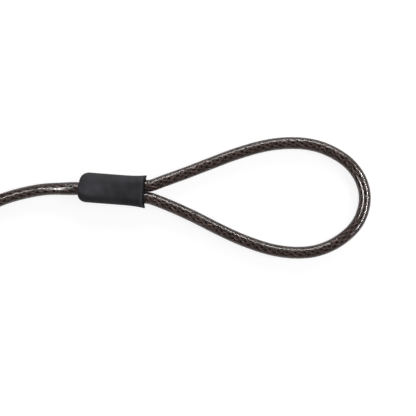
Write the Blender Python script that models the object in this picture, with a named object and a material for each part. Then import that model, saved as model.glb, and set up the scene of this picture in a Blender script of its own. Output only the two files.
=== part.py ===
"""Cable lock: a braided steel cable in a plastic jacket, with a crimped eye at one end and a keyed
lock head at the other. The eye drops into the head's jaw and a sliding bolt closes the jaw behind it.

Metres, +Z up. The lock lies on a flat surface at z = 0. The origin is the middle of the lock head's
flat underside. The head's barrel lies along Y with the key at +Y and the jaw at -Y, and the cable
leaves the head towards +X, goes round the coil and ends in the eye.
"""

import math

import bmesh
import bpy
from mathutils import Matrix, Vector

CLEAR = 0.0003  # gap between touching pieces

# Cable
CABLE_D = 0.0100  # over the plastic jacket
CORE_D = 0.0062  # braided steel under the jacket
TUBE_STEP = 2.0  # length of one straight facet of a free stretch, in cable diameters

# Eye: rubber sleeve over a crimped aluminium ferrule
SLEEVE_CENTRE = (0.2635, 0.0085)
SLEEVE_TILT = math.radians(-3.5)
SLEEVE_LEN = 0.0544
SLEEVE_WALL = 0.0020
SLEEVE_FLARE = 0.0013  # how much wider each side is at the open end
SLEEVE_NECK_LEN = 0.0042
SLEEVE_SHOULDER_LEN = 0.0075
FERRULE_LEN = 0.0220
FERRULE_X0 = -0.0100  # the ferrule's cable-side face, from the sleeve's middle
TAIL_IN_SLEEVE = 0.0045

# Coil put away for storage: two layers, wound in below and out on top
COIL_CENTRE = (0.0990, 0.0317)
COIL_OUTER_R = 0.0590  # to the cable's middle, at both of the coil's ends
COIL_GAP = 0.0006
COIL_POINTS_PER_TURN = 24
COIL_STEPS = 75
COIL_START_ANGLE = math.radians(297.0)

# Lock mechanism, in the order it is threaded on the barrel's axis
BOLT_D = 0.0090
BOLT_BITE = 0.0042  # how far the closed bolt enters the nose
BOLT_CHAMFER = 0.0012
JAW_SLACK = 0.0015  # the jaw is this much wider than the cable
KEY_TURN = math.pi
DRIVE_PIN_D = 0.0030
BOLT_TAIL = 0.0030  # bolt behind the middle of its drive pin
DRUM_R = 0.0083
DRUM_WALL = 0.0015
DRUM_END = 0.0041
DISC_COUNT = 6
DISC_T = 0.0018
SPACER_T = 0.0008
GUARD_T = 0.0020
GATE_W = 0.0020  # side bar's width, in the gates of the discs
GATE_DEPTH = 0.0014
TANG_T = 0.0025
TANG_W = 0.0030
CAM_END_WALL = 0.0018
BUSH_LEN = 0.0040
FRONT_WALL = 0.0030

# Casting
BARREL_WALL = 0.0036
SHOULDER_LEN = 0.0090  # bare metal between the covers and the jaw
HOOK_T = 0.0180
NOSE_T = 0.0110
BRIDGE_T = 0.0085
HOOK_CORNER_R = 0.0080
HOOK_EDGE = 0.0012
JAW_SPARE = 0.0025  # room left past the cable, between bolt and bridge
NOSE_LIP = 0.0098  # nose and jaw wall beyond the bolt's axis, on the mouth's side

# Covers
COVER_WALL = 0.0025
COVER_CORNER_R = 0.0060
COVER_END_EDGE = 0.0015
COVER_SCREW_X = 0.0180

# Key and its collar
COLLAR_R = 0.0110
COLLAR_FLANGE_T = 0.0018
COLLAR_SPIGOT_LEN = 0.0040
KEY_R = 0.0026
KEY_BOW_LEN = 0.0240
KEY_BOW_W = 0.0220
KEY_BOW_T = 0.0050
KEY_RING_HOLE_R = 0.0035
KEY_TANG_LEN = 0.0090
KEY_TANG_W = 0.0040
KEY_TANG_T = 0.0018
KEY_CUTS_DEG = (20, 55, 35, 0, 70, 45)  # one cut for each disc, from the tip

# Cable anchor
BOSS_X = 0.0200  # the boss's place along the barrel, from the covers' middle
BOSS_R = 0.0090
BOSS_REACH = 0.0240  # the boss's face, from the barrel's axis
ANCHOR_R = 0.0056
ANCHOR_LEN = 0.0099
ANCHOR_GROOVE = 0.0006
BOOT_LEN = 0.0260
BOOT_BASE_R = 0.0088
BOOT_TIP_R = 0.0064
BOOT_RIBS = 4

# Small screws and the detent
SCREW_R = 0.0012
SCREW_HEAD_R = 0.0026
SCREW_HEAD_T = 0.0010
GRUB_R = 0.0015
SOCKET_SHARE = 0.52
SOCKET_DEPTH_SHARE = 0.7
BALL_R = 0.0015
DETENT_GROOVE = 0.0009
DETENT_BOSS_R = 0.0036
DETENT_SPRING_LEN = 0.0022
DETENT_WIRE_R = 0.0002

# Worked out from the sizes above
CABLE_R = CABLE_D / 2
CORE_R = CORE_D / 2
BOLT_R = BOLT_D / 2
DRIVE_PIN_R = DRIVE_PIN_D / 2
LEG_OFFSET = CABLE_R + CLEAR / 2
JAW_GAP = CABLE_D + JAW_SLACK
BOLT_TRAVEL = JAW_GAP + BOLT_BITE + CLEAR
BORE_R = DRUM_R + CLEAR
BARREL_R = BORE_R + BARREL_WALL
COVER_BORE_R = BARREL_R + CLEAR
COVER_HALF = COVER_BORE_R + COVER_WALL
AXIS_Z = COVER_HALF
DISC_R = DRUM_R - DRUM_WALL - CLEAR
DISC_PACK_LEN = DISC_COUNT * DISC_T + (DISC_COUNT - 1) * (SPACER_T + 2 * CLEAR)
DRUM_CAVITY = GUARD_T + CLEAR + DISC_PACK_LEN + CLEAR
DRUM_LEN = DRUM_CAVITY + DRUM_END
# The slot is wide enough, along the barrel, for the drive pin to ride the helix at the bore
HELIX_RISE = BOLT_TRAVEL / KEY_TURN
CAM_BORE_R = BOLT_R + CLEAR
SLOT_HALF = DRIVE_PIN_R / math.cos(math.atan(HELIX_RISE / CAM_BORE_R)) + CLEAR
CAM_LEN = CAM_END_WALL + SLOT_HALF + BOLT_TRAVEL + BOLT_TAIL + 2 * CLEAR + TANG_T
BARREL_LEN = (
    COLLAR_SPIGOT_LEN + DRUM_LEN + CAM_LEN + BUSH_LEN + 4 * CLEAR + FRONT_WALL
)
COVER_LEN = BARREL_LEN - SHOULDER_LEN

# Stations along the barrel's axis, from the middle of the covers towards the jaw
BARREL_X0 = -COVER_LEN / 2
COVER_X1 = COVER_LEN / 2
DRUM_X0 = BARREL_X0 + COLLAR_SPIGOT_LEN + CLEAR
DRUM_X1 = DRUM_X0 + DRUM_LEN
PACK_X0 = DRUM_X0 + GUARD_T + CLEAR
PACK_X1 = PACK_X0 + DISC_PACK_LEN
CAM_X0 = DRUM_X1 + CLEAR
CAM_X1 = CAM_X0 + CAM_LEN
BUSH_X0 = CAM_X1 + CLEAR
BUSH_X1 = BUSH_X0 + BUSH_LEN
BORE_X1 = BUSH_X1 + CLEAR
JAW_X0 = BARREL_X0 + BARREL_LEN
JAW_X1 = JAW_X0 + JAW_GAP
NOSE_X1 = JAW_X1 + NOSE_T
PIN_X = CAM_X1 - CAM_END_WALL - SLOT_HALF
PIN_OPEN_X = PIN_X - BOLT_TRAVEL
DETENT_X = DRUM_X1 - DRUM_END / 2
PIN_GROOVE_R = DRUM_R + 0.55 * BARREL_WALL
JAW_DEPTH = BOLT_R + CABLE_D + JAW_SPARE

# Route of the cable from the sleeve's neck to the coil, and round the eye (x, y), metres
TAIL_POINTS = (
    (0.2252, 0.0090),
    (0.2152, 0.0089),
    (0.2052, 0.0082),
    (0.1952, 0.0065),
    (0.1853, 0.0042),
    (0.1753, 0.0012),
    (0.1653, -0.0027),
    (0.1555, -0.0070),
    (0.1455, -0.0116),
)
EYE_POINTS = (
    (0.2985, 0.0135),
    (0.3050, 0.0154),
    (0.3247, 0.0221),
    (0.3447, 0.0298),
    (0.3646, 0.0373),
    (0.3845, 0.0433),
    (0.3978, 0.0459),
    (0.4111, 0.0469),
    (0.4243, 0.0462),
    (0.4376, 0.0431),
    (0.4508, 0.0368),
    (0.4607, 0.0293),
    (0.4685, 0.0190),
    (0.4721, 0.0096),
    (0.4731, 0.0030),
    (0.4728, -0.0038),
    (0.4712, -0.0105),
    (0.4685, -0.0170),
    (0.4640, -0.0236),
    (0.4562, -0.0310),
    (0.4443, -0.0384),
    (0.4310, -0.0429),
    (0.4177, -0.0441),
    (0.4044, -0.0431),
    (0.3911, -0.0403),
    (0.3712, -0.0334),
    (0.3513, -0.0243),
    (0.3314, -0.0142),
    (0.3115, -0.0052),
    (0.2990, -0.0006),
)
LEG_DROP_X = 0.3300  # the eye's legs have come down to the surface here
TAIL_DROP_X = 0.2000


# Shapes


def mesh_object(name, points, faces, smooth=True):
    mesh = bpy.data.meshes.new(name)
    mesh.from_pydata([tuple(p) for p in points], [], faces)
    bm = bmesh.new()
    bm.from_mesh(mesh)
    bmesh.ops.recalc_face_normals(bm, faces=bm.faces)
    bm.to_mesh(mesh)
    bm.free()
    if smooth:
        mesh.shade_smooth()
        mesh.set_sharp_from_angle(angle=math.radians(35))
    body = bpy.data.objects.new(name, mesh)
    bpy.context.collection.objects.link(body)
    return body


def lofted(name, sections, ring=False, smooth=True):
    """Skins sections of equally many points; a ring joins the last section to the first."""
    count, n = len(sections), len(sections[0])
    points = [p for section in sections for p in section]
    faces = []
    for i in range(count if ring else count - 1):
        a, b = i * n, (i + 1) % count * n
        for j in range(n):
            k = (j + 1) % n
            faces.append((a + j, a + k, b + k, b + j))
    if not ring:
        faces.append(tuple(range(n)))
        faces.append(tuple(range((count - 1) * n, count * n)))
    return mesh_object(name, points, faces, smooth)


def turned(name, profile, segments=32, smooth=True):
    """Turns (x, r) points round the X axis. Both end points at r = 0 give a solid, otherwise a ring."""
    solid = profile[0][1] == 0 and profile[-1][1] == 0
    rows = profile[1:-1] if solid else profile
    points, faces = [], []
    for x, r in rows:
        for j in range(segments):
            a = 2 * math.pi * j / segments
            points.append((x, r * math.cos(a), r * math.sin(a)))
    for i in range(len(rows) - 1 if solid else len(rows)):
        a, b = i * segments, (i + 1) % len(rows) * segments
        for j in range(segments):
            k = (j + 1) % segments
            faces.append((a + j, a + k, b + k, b + j))
    if solid:
        faces.append(tuple(range(segments)))
        faces.append(tuple(range((len(rows) - 1) * segments, len(rows) * segments)))
    return mesh_object(name, points, faces, smooth)


def rod(name, x0, x1, radius, segments=16, chamfer=0.0):
    if chamfer:
        profile = (
            (x0, 0),
            (x0, radius - chamfer),
            (x0 + chamfer, radius),
            (x1 - chamfer, radius),
            (x1, radius - chamfer),
            (x1, 0),
        )
    else:
        profile = ((x0, 0), (x0, radius), (x1, radius), (x1, 0))
    return turned(name, profile, segments)


def block(name, low, high):
    points = [(x, y, z) for x in (low[0], high[0]) for y in (low[1], high[1]) for z in (low[2], high[2])]
    faces = [(0, 1, 3, 2), (4, 6, 7, 5), (0, 4, 5, 1), (2, 3, 7, 6), (0, 2, 6, 4), (1, 5, 7, 3)]
    return mesh_object(name, points, faces, smooth=False)


def arc(cx, cy, radius, start_deg, end_deg, steps):
    out = []
    for k in range(steps + 1):
        a = math.radians(start_deg + (end_deg - start_deg) * k / steps)
        out.append((cx + radius * math.cos(a), cy + radius * math.sin(a)))
    return out


def plate(name, outline, z0, z1, edge=0.0):
    """Extrudes a closed (x, y) outline and rounds its upper and lower rims."""
    bm = bmesh.new()
    low = [bm.verts.new((x, y, z0)) for x, y in outline]
    bottom = bm.faces.new(low)
    top = bmesh.ops.extrude_face_region(bm, geom=[bottom])["geom"]
    lifted = [g for g in top if isinstance(g, bmesh.types.BMVert)]
    bmesh.ops.translate(bm, verts=lifted, vec=(0, 0, z1 - z0))
    bmesh.ops.recalc_face_normals(bm, faces=bm.faces)
    if edge:
        rims = [e for e in bm.edges if abs(e.verts[0].co.z - e.verts[1].co.z) < edge / 10]
        bmesh.ops.bevel(bm, geom=rims, offset=edge, segments=2, profile=0.5, affect="EDGES")
    mesh = bpy.data.meshes.new(name)
    bm.to_mesh(mesh)
    bm.free()
    mesh.shade_smooth()
    mesh.set_sharp_from_angle(angle=math.radians(35))
    body = bpy.data.objects.new(name, mesh)
    bpy.context.collection.objects.link(body)
    return body


def boolean(target, tool, operation):
    modifier = target.modifiers.new(tool.name, "BOOLEAN")
    modifier.object = tool
    modifier.operation = operation
    tool.hide_render = True
    tool.display_type = "WIRE"


def cut(target, *tools):
    for tool in tools:
        boolean(target, tool, "DIFFERENCE")


def weld_on(target, *tools):
    for tool in tools:
        boolean(target, tool, "UNION")


def sound(name, colour, roughness, metallic):
    made = bpy.data.materials.new(name)
    made.use_nodes = True
    shader = made.node_tree.nodes["Principled BSDF"]
    shader.inputs["Base Color"].default_value = (*colour, 1.0)
    shader.inputs["Roughness"].default_value = roughness
    shader.inputs["Metallic"].default_value = metallic
    return made


def finish(body, colour, roughness, metallic=0.0):
    body.data.materials.clear()
    body.data.materials.append(sound(body.name, colour, roughness, metallic))
    return body


def frame_at(name, location, turn):
    empty = bpy.data.objects.new(name, None)
    empty.location = location
    empty.rotation_euler = turn
    bpy.context.collection.objects.link(empty)
    return empty


def place(parent, *bodies, turn=(0, 0, 0), at=(0, 0, 0)):
    for body in bodies:
        body.parent = parent
        body.location = at
        body.rotation_euler = turn


# Finishes

BLACK_PLASTIC = (0.022, 0.022, 0.024)
BLACK_RUBBER = (0.030, 0.031, 0.034)
CABLE_BROWN = (0.045, 0.034, 0.030)
SATIN_STEEL = (0.55, 0.55, 0.56)
ZINC = (0.46, 0.46, 0.47)
BRASS = (0.72, 0.52, 0.24)
NICKEL = (0.66, 0.63, 0.58)
ALUMINIUM = (0.70, 0.70, 0.71)


# Cable routes


def smooth_route(points, step):
    """Points about a step apart on a smooth curve through the given ones, between two straight ends."""
    fine = []
    for p0, p1, p2, p3 in zip(points, points[1:], points[2:], points[3:]):
        t1 = (p1 - p0).length ** 0.5
        t2 = t1 + (p2 - p1).length ** 0.5
        t3 = t2 + (p3 - p2).length ** 0.5
        for k in range(24):
            t = t1 + (t2 - t1) * k / 24
            a1 = p0.lerp(p1, t / t1)
            a2 = p1.lerp(p2, (t - t1) / (t2 - t1))
            a3 = p2.lerp(p3, (t - t2) / (t3 - t2))
            b1 = a1.lerp(a2, t / t2)
            b2 = a2.lerp(a3, (t - t1) / (t3 - t1))
            fine.append(b1.lerp(b2, (t - t1) / (t2 - t1)))
    fine.append(points[-2].copy())
    along = [0.0]
    for a, b in zip(fine, fine[1:]):
        along.append(along[-1] + (b - a).length)
    count = max(2, round(along[-1] / step))
    out, i = [], 0
    for k in range(count + 1):
        want = along[-1] * k / count
        while i < len(along) - 2 and along[i + 1] < want:
            i += 1
        share = (want - along[i]) / (along[i + 1] - along[i])
        out.append(fine[i].lerp(fine[i + 1], share))
    ends = (points[1] - points[0]).length + (points[-1] - points[-2]).length
    return [points[0], *out, points[-1]], along[-1] + ends


def tube(name, points, radius, resolution):
    curve = bpy.data.curves.new(name, "CURVE")
    curve.dimensions = "3D"
    curve.bevel_depth = radius
    curve.bevel_resolution = resolution
    curve.use_fill_caps = True
    spline = curve.splines.new("POLY")
    spline.points.add(len(points) - 1)
    for point, place_at in zip(spline.points, points):
        point.co = (*place_at, 1.0)
    body = bpy.data.objects.new(name, curve)
    bpy.context.collection.objects.link(body)
    return body


def least_gap(points, diameter):
    """Least distance between two stretches of the coil, less the cable itself."""
    fine = []
    for a, b in zip(points, points[1:]):
        fine += [a.lerp(b, k / 4) for k in range(4)]
    skip = math.ceil(4 * math.pi * diameter / (points[5] - points[4]).length)
    least = min(
        (a - b).length for i, a in enumerate(fine) for b in fine[i + skip :]
    )
    return least - diameter


def eased(share):
    share = min(max(share, 0.0), 1.0)
    return share * share * (3 - 2 * share)


def coil_points():
    """Clockwise from above: in along the surface, up a layer in half a turn, and out again on top."""
    pitch = CABLE_D + COIL_GAP
    step = 2 * math.pi / COIL_POINTS_PER_TURN
    middle = COIL_STEPS * step / 2
    rounding = 0.35
    spread = math.hypot(middle, rounding)
    points = []
    for k in range(COIL_STEPS + 1):
        turn = k * step
        inward = spread - math.hypot(turn - middle, rounding)
        radius = COIL_OUTER_R - pitch * inward / (2 * math.pi)
        angle = COIL_START_ANGLE - turn
        climb = eased((turn - middle) / math.pi + 0.5)
        points.append(
            Vector(
                (
                    COIL_CENTRE[0] + radius * math.cos(angle),
                    COIL_CENTRE[1] + radius * math.sin(angle),
                    CABLE_R + pitch * climb,
                )
            )
        )
    first = (points[0] - points[1]).normalized()
    last = (points[-1] - points[-2]).normalized()
    return [points[0] + first * CABLE_D, *points, points[-1] + last * CABLE_D]


# Eye end


def stadium(x, half_width, half_height, count=28):
    """A flattened oval section: two half circles joined by straight runs."""
    straight = max(half_width - half_height, 0.0)
    radius = min(half_width, half_height)
    half = count // 2
    out = []
    for side in (1, -1):
        for k in range(half):
            a = math.pi * (k / (half - 1) - 0.5)
            y = side * (straight + radius * math.cos(a))
            z = side * half_height * math.sin(a)
            out.append(Vector((x, y, z)))
    return out


def make_eye():
    half_len = SLEEVE_LEN / 2
    inner_w = LEG_OFFSET + CABLE_R + CLEAR
    inner_h = CABLE_R + CLEAR
    outer_w = inner_w + SLEEVE_WALL
    outer_h = inner_h + SLEEVE_WALL
    sleeve_z = outer_h + SLEEVE_FLARE / 2
    frame = frame_at("eye_frame", (*SLEEVE_CENTRE, sleeve_z), (0, 0, SLEEVE_TILT))

    neck = CABLE_R + CLEAR
    neck_x = -half_len + SLEEVE_NECK_LEN
    shoulder_x = neck_x + SLEEVE_SHOULDER_LEN
    lip = neck + 0.6 * SLEEVE_WALL
    sections = []
    for share in (0.0, 0.08, 0.22, 0.45, 0.75, 1.0):
        bulge = math.sqrt(1 - (1 - share) ** 2)
        x = -half_len + share * SLEEVE_SHOULDER_LEN
        height = lip + (outer_h - lip) * bulge
        sections.append(stadium(x, lip + (outer_w - lip) * bulge, height))
    for share, grow in ((0.45, 0.0), (0.75, 0.10), (0.92, 0.40), (1.0, 1.0)):
        x = -half_len + SLEEVE_SHOULDER_LEN + share * (SLEEVE_LEN - SLEEVE_SHOULDER_LEN)
        flare = grow * SLEEVE_FLARE
        sections.append(stadium(x, outer_w + flare, outer_h + flare / 2))
    mouth = SLEEVE_WALL / 2
    rim_w = outer_w + SLEEVE_FLARE - mouth
    rim_h = outer_h + SLEEVE_FLARE / 2 - mouth
    sections.append(stadium(half_len, rim_w, rim_h))
    throat = half_len - 2 * SLEEVE_WALL
    sections.append(stadium(throat, inner_w + SLEEVE_FLARE / 3, inner_h + SLEEVE_FLARE / 6))
    sections.append(stadium(half_len - 5 * SLEEVE_WALL, inner_w, inner_h))
    sections.append(stadium(shoulder_x, inner_w, inner_h))
    sections.append(stadium((neck_x + shoulder_x) / 2, (inner_w + neck) / 2, inner_h))
    sections.append(stadium(neck_x, neck, neck))
    sections.append(stadium(-half_len, neck, neck))
    sleeve = lofted("eye_sleeve", sections, ring=True)
    place(frame, finish(sleeve, BLACK_RUBBER, 0.62))

    ferrule_x1 = FERRULE_X0 + FERRULE_LEN
    ferrule_w = inner_w - CLEAR
    ferrule_h = inner_h - CLEAR
    swell = 0.0006
    body = [
        stadium(FERRULE_X0, ferrule_w - swell, ferrule_h - swell, 20),
        stadium(FERRULE_X0 + swell, ferrule_w, ferrule_h, 20),
        stadium(ferrule_x1 - swell, ferrule_w, ferrule_h, 20),
        stadium(ferrule_x1, ferrule_w - swell, ferrule_h - swell, 20),
    ]
    ferrule = lofted("crimp_ferrule", body)
    for side, label in ((1, "lead"), (-1, "return")):
        hole = rod(f"ferrule_{label}_hole", FERRULE_X0 - swell, ferrule_x1 + swell, CORE_R + CLEAR, 12)
        place(frame, hole, at=(0, side * LEG_OFFSET, 0))
        cut(ferrule, hole)
    place(frame, finish(ferrule, ALUMINIUM, 0.35, 1.0))

    # Bare strands in the ferrule: one runs on to the tail, the other is the cable's cut end
    tail_face = -half_len + TAIL_IN_SLEEVE
    lead = [Vector((ferrule_x1, LEG_OFFSET, 0))]
    bend_end = tail_face + CORE_R / 2
    for k in range(7):
        share = k / 6
        x = FERRULE_X0 + (bend_end - FERRULE_X0) * share
        lead.append(Vector((x, LEG_OFFSET * (1 - eased(share)), 0)))
    lead.append(Vector((tail_face + CLEAR, 0, 0)))
    place(frame, finish(tube("core_lead", lead, CORE_R, 2), SATIN_STEEL, 0.4, 1.0))
    cut_end = rod("core_return", FERRULE_X0 - CLEAR, ferrule_x1, CORE_R, 12, CLEAR)
    place(frame, finish(cut_end, SATIN_STEEL, 0.4, 1.0), at=(0, -LEG_OFFSET, 0))

    to_world = Matrix.Translation(frame.location) @ Matrix.Rotation(SLEEVE_TILT, 4, "Z")
    return to_world, ferrule_x1 + CLEAR, tail_face


def make_cables(to_world, leg_face, tail_face):
    sleeve_z = to_world.translation.z

    def height(x, drop_x, from_x):
        share = eased((x - from_x) / (drop_x - from_x))
        return sleeve_z + (CABLE_R - sleeve_z) * share

    leg_bend = SLEEVE_LEN / 2 - CABLE_R
    legs = [[to_world @ Vector((x, side * LEG_OFFSET, 0)) for x in (leg_face, leg_bend)] for side in (1, -1)]
    mouth_x = legs[0][1].x
    route = legs[0] + [Vector((x, y, height(x, LEG_DROP_X, mouth_x))) for x, y in EYE_POINTS]
    route += reversed(legs[1])
    eye, eye_len = smooth_route(route, TUBE_STEP * CABLE_D)
    finish(tube("cable_eye", eye, CABLE_R, 4), CABLE_BROWN, 0.3)

    coil = coil_points()
    finish(tube("cable_coil", coil, CABLE_R, 1), CABLE_BROWN, 0.3)
    coil_len = sum((b - a).length for a, b in zip(coil, coil[1:]))

    start = [to_world @ Vector((tail_face - k * CABLE_R, 0, 0)) for k in range(2)]
    route = start + [Vector((x, y, height(x, TAIL_DROP_X, start[1].x))) for x, y in TAIL_POINTS]
    backward = (coil[0] - coil[1]).normalized()
    route += [coil[0] + backward * (CABLE_R + CLEAR), coil[0] + backward * CLEAR]
    tail, tail_len = smooth_route(route, TUBE_STEP * CABLE_D)
    finish(tube("cable_tail", tail, CABLE_R, 3), CABLE_BROWN, 0.3)

    onward = (coil[-1] - coil[-2]).normalized()
    boss_face = BOSS_REACH + CLEAR
    route = [coil[-1] + onward * CLEAR, coil[-1] + onward * CABLE_R]
    route += [Vector((boss_face + BOOT_LEN, -BOSS_X, AXIS_Z)), Vector((boss_face, -BOSS_X, AXIS_Z))]
    lead, lead_len = smooth_route(route, CABLE_D)
    finish(tube("cable_lead", lead, CABLE_R, 3), CABLE_BROWN, 0.3)

    print(f"coil: least gap to itself {1000 * least_gap(coil, CABLE_D):.2f} mm")
    for name, length in (("eye", eye_len), ("tail", tail_len), ("coil", coil_len), ("lead", lead_len)):
        print(f"cable {name}: {length:.4f} m")


# Lock head. Its frame has +X along the barrel to the jaw, +Y to the cable's boss and +Z up.

ALONG_Y = (0, 0, math.pi / 2)
ALONG_Z = (0, -math.pi / 2, 0)
ALONG_MINUS_Z = (0, math.pi / 2, 0)


def add_socket(fastener, face, radius, depth):
    """Cuts a hexagon socket for the driver into the face at this x, and gives back its tool."""
    socket = rod(f"{fastener.name}_socket", face - depth, face + depth, radius, 6)
    cut(fastener, socket)
    return socket


def screw(name, head, shank, length):
    """A flat-headed screw along X, its head's face at x = 0 and its tip at x = -length."""
    bevel = shank / 4
    profile = (
        (-length, 0),
        (-length, shank - bevel),
        (-length + 2 * bevel, shank),
        (-SCREW_HEAD_T, shank),
        (-SCREW_HEAD_T, head),
        (-bevel, head),
        (0, head - bevel),
        (0, 0),
    )
    made = turned(name, profile, 16)
    return made, add_socket(made, 0, head * SOCKET_SHARE, SCREW_HEAD_T * SOCKET_DEPTH_SHARE)


def make_body(head):
    barrel = turned(
        "lock_body",
        (
            (BARREL_X0, 0),
            (BARREL_X0, BARREL_R),
            (JAW_X0 - HOOK_EDGE, BARREL_R),
            (JAW_X0, BARREL_R - HOOK_EDGE),
            (JAW_X0, 0),
        ),
        40,
    )
    root_x = JAW_X0 - SHOULDER_LEN + 2 * CLEAR
    far = -(JAW_DEPTH + BRIDGE_T)
    r = HOOK_CORNER_R
    inner_r = JAW_GAP / 2
    lip_r = NOSE_T / 3
    outline = [(root_x, 0.0)]
    outline += arc(root_x + r, far + r, r, 180, 270, 5)
    outline += arc(NOSE_X1 - r, far + r, r, 270, 360, 5)
    outline += arc(NOSE_X1 - lip_r, NOSE_LIP - lip_r, lip_r, 0, 90, 4)
    outline += arc(JAW_X1 + lip_r, NOSE_LIP - lip_r, lip_r, 90, 180, 4)
    outline += arc(JAW_X0 + inner_r, -JAW_DEPTH + inner_r, inner_r, 360, 180, 8)
    outline += [(JAW_X0, 0.0)]
    hook = plate("hook_shape", outline, -HOOK_T / 2, HOOK_T / 2, HOOK_EDGE)

    overlap = BARREL_R - BORE_R
    boss = rod("boss_shape", BARREL_R - overlap, BOSS_REACH, BOSS_R, 28, CLEAR)
    bore_foot = BOSS_REACH - ANCHOR_LEN - 2 * CLEAR
    boss_bore = rod("boss_bore", bore_foot, BOSS_REACH + ANCHOR_R, ANCHOR_R + CLEAR, 24)
    detent_top = detent_stations()[-1]
    pad = rod("detent_boss_shape", BARREL_R - overlap, detent_top + CLEAR, DETENT_BOSS_R, 16)
    pad_hole = rod("detent_hole", 0, detent_top + BALL_R, BALL_R + CLEAR, 16)

    socket_end = JAW_X1 + BOLT_BITE + 2 * CLEAR
    bore = turned(
        "barrel_bore",
        (
            (BARREL_X0 - BARREL_WALL, 0),
            (BARREL_X0 - BARREL_WALL, BORE_R),
            (BORE_X1, BORE_R),
            (BORE_X1, BOLT_R + CLEAR),
            (socket_end, BOLT_R + CLEAR),
            (socket_end, 0),
        ),
        40,
    )
    half = DRIVE_PIN_R + CLEAR
    groove = block(
        "drive_pin_groove",
        (BARREL_X0 - BARREL_WALL, -PIN_GROOVE_R, -half),
        (PIN_X + half, 0, half),
    )
    grub_hole = rod("anchor_screw_hole", 0, 2 * BOSS_R, GRUB_R + CLEAR, 12)
    place(head, hook, bore, groove)
    place(head, boss, boss_bore, at=(BOSS_X, 0, 0), turn=ALONG_Y)
    place(head, pad, pad_hole, at=(DETENT_X, 0, 0), turn=detent_turn())
    place(head, grub_hole, at=(BOSS_X, anchor_screw_y(), 0), turn=ALONG_MINUS_Z)
    weld_on(barrel, hook, boss, pad)
    cut(barrel, bore, groove, boss_bore, pad_hole, grub_hole)
    for k, (x, side) in enumerate(cover_screw_places()):
        hole = rod(f"screw_thread_{k + 1}", 0, COVER_BORE_R, SCREW_R + CLEAR, 10)
        place(head, hole, at=(x, 0, 0), turn=ALONG_Z if side > 0 else ALONG_MINUS_Z)
        cut(barrel, hole)
    place(head, finish(barrel, ZINC, 0.35, 1.0))


def detent_turn():
    """Turns X to point up and towards the boss, into the covers' corner."""
    return Vector((0, 1, 1)).to_track_quat("X", "Z").to_euler()


def detent_stations():
    """Distances from the barrel's axis: ball's middle, spring's foot and top, and the plug's top."""
    ball = DRUM_R - DETENT_GROOVE + CLEAR + BALL_R
    foot = ball + BALL_R + CLEAR
    top = foot + DETENT_SPRING_LEN
    return ball, foot, top, top + CLEAR + 2 * GRUB_R * 0.6


def anchor_screw_y():
    return (COVER_HALF + BOSS_REACH) / 2


def cover_screw_places():
    return [(x, side) for side in (-1, 1) for x in (-COVER_SCREW_X, COVER_SCREW_X)]


def cover_section(x, inset):
    """Half of a rounded square outside, half a circle inside, open downwards."""
    half = COVER_HALF - inset
    r = COVER_CORNER_R - inset
    foot = CLEAR / 2
    points = [(half, foot)]
    points += arc(half - r, half - r, r, 0, 90, 5)
    points += arc(-half + r, half - r, r, 90, 180, 5)
    points += [(-half, foot)]
    start = math.degrees(math.asin(foot / COVER_BORE_R))
    points += arc(0, 0, COVER_BORE_R, 180 - start, start, 16)
    return [Vector((x, y, z)) for y, z in points]


def make_covers(head):
    x0, x1, edge = BARREL_X0, COVER_X1, COVER_END_EDGE
    stations = (
        (x0, edge),
        (x0 + 0.3 * edge, 0.3 * edge),
        (x0 + edge, 0),
        (x1 - edge, 0),
        (x1 - 0.3 * edge, 0.3 * edge),
        (x1, edge),
    )
    sections = [cover_section(x, inset) for x, inset in stations]
    upper = lofted("cover_upper", sections)
    lower = lofted("cover_lower", sections)
    place(head, finish(upper, BLACK_PLASTIC, 0.45))
    place(head, finish(lower, BLACK_PLASTIC, 0.45), turn=(math.pi, 0, 0))

    window = rod("cover_boss_window", 0, 2 * COVER_HALF, BOSS_R + CLEAR, 28)
    place(head, window, at=(BOSS_X, 0, 0), turn=ALONG_Y)
    cut(upper, window)
    cut(lower, window)
    pocket = rod("cover_detent_pocket", 0, detent_stations()[-1] + 2 * CLEAR, DETENT_BOSS_R + CLEAR, 16)
    place(head, pocket, at=(DETENT_X, 0, 0), turn=detent_turn())
    cut(upper, pocket)

    seat = COVER_HALF - SCREW_HEAD_T - 2 * CLEAR
    for k, (x, side) in enumerate(cover_screw_places()):
        turn = ALONG_Z if side > 0 else ALONG_MINUS_Z
        counterbore = turned(
            f"screw_seat_{k + 1}",
            (
                (0, 0),
                (0, SCREW_R + CLEAR),
                (seat, SCREW_R + CLEAR),
                (seat, SCREW_HEAD_R + CLEAR),
                (COVER_HALF + SCREW_HEAD_R, SCREW_HEAD_R + CLEAR),
                (COVER_HALF + SCREW_HEAD_R, 0),
            ),
            16,
        )
        place(head, counterbore, at=(x, 0, 0), turn=turn)
        cut(upper if side > 0 else lower, counterbore)
        length = COVER_HALF - CLEAR - BORE_R - CLEAR
        fastener, socket = screw(f"cover_screw_{k + 1}", SCREW_HEAD_R, SCREW_R, length)
        foot = Vector((COVER_HALF - CLEAR, 0, 0))
        foot.rotate(Matrix.Rotation(turn[1], 3, "Y"))
        finish(fastener, SATIN_STEEL, 0.3, 1.0)
        place(head, fastener, socket, at=(x, foot.y, foot.z), turn=turn)


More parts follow.
